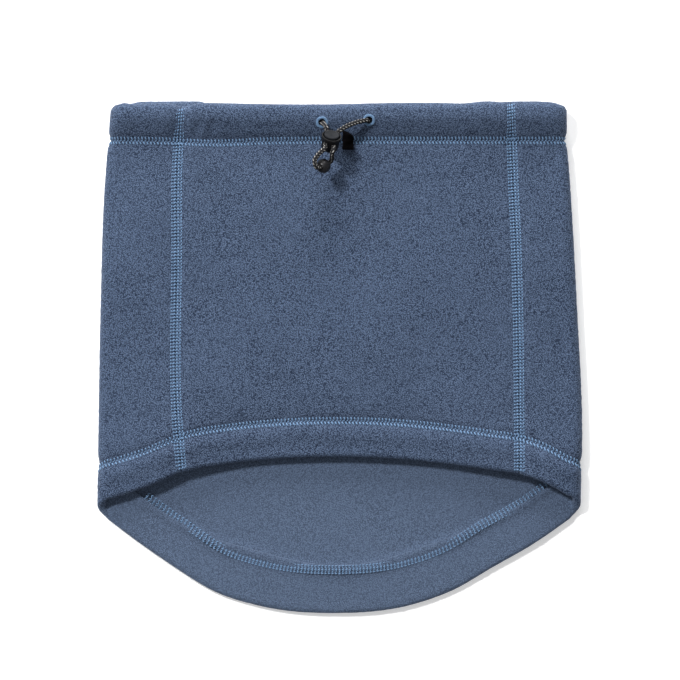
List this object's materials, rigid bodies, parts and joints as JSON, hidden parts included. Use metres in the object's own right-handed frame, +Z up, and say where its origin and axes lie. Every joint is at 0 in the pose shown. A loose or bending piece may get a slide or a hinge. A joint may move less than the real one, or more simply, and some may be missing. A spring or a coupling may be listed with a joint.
{
  "type": "neck gaiter",
  "caption": "Fleece neck gaiter lying flat: butted front and back panels, long curved back hem, drawcord casing with eyelets, spring cord lock, elastic loop and ball.",
  "frame": {"origin": "middle of the flat gaiter's outline, on the surface it lies on", "axes": "+Y from the long hem to the neck edge, +Z up out of the front, +X to the right seen from above with the neck edge at the top"},
  "size_m": [0.281, 0.297, 0.033],
  "materials": {
    "fleece": "matte",
    "thread": "matte",
    "cord": "matte",
    "lock_plastic": "matte",
    "ball_plastic": "matte",
    "spring_steel": "satin",
    "tape": "matte"
  },
  "bodies": {
    "gaiter": {"front_panel": "fleece", "back_panel": "fleece", "left_seam_stitch_thread": "thread", "right_seam_stitch_thread": "thread", "casing_stitch_thread": "thread", "front_hem_stitch_thread": "thread", "back_hem_stitch_thread": "thread", "left_eyelet_stitching": "thread", "right_eyelet_stitching": "thread", "draw_cord": "cord", "keeper_tape": "tape"},
    "lock": {"lock_body": "lock_plastic", "lock_spring": "spring_steel", "cord_strand_left": "cord", "cord_strand_right": "cord"},
    "button": {"lock_button": "lock_plastic"},
    "loop": {"cord_loop": "cord"},
    "ball": {"cord_ball": "ball_plastic"}
  },
  "joints": [
    {"name": "lock_swing", "type": "hinge", "parent": "gaiter", "child": "lock", "pos_m": [0.00345, 0.1371, 0.022], "axis": [-1, 0, 0], "range_deg": [-6, 115], "stiffness_Nm_per_rad": 0.006, "deforming": ["cord_strand_left", "cord_strand_right"]},
    {"name": "loop_swing", "type": "hinge", "parent": "lock", "child": "loop", "pos_m": [-0.00577, 0.12099, 0.02899], "axis": [-0.9816, 0.1908, 0], "range_deg": [-15, 70], "stiffness_Nm_per_rad": 0.003, "deforming": ["cord_loop"]},
    {"name": "ball_spin", "type": "hinge", "parent": "loop", "child": "ball", "pos_m": [-0.0092, 0.1106, 0.0255], "axis": [-0.4998, -0.2799, 0.8197], "continuous": true},
    {"name": "button_press", "type": "slide", "parent": "lock", "child": "button", "axis": [-0.1277, -0.6568, -0.7431], "range_m": [0, 0.0018], "stiffness_N_per_m": 800, "springref_m": -0.002, "deforming": ["lock_spring"]}
  ]
}
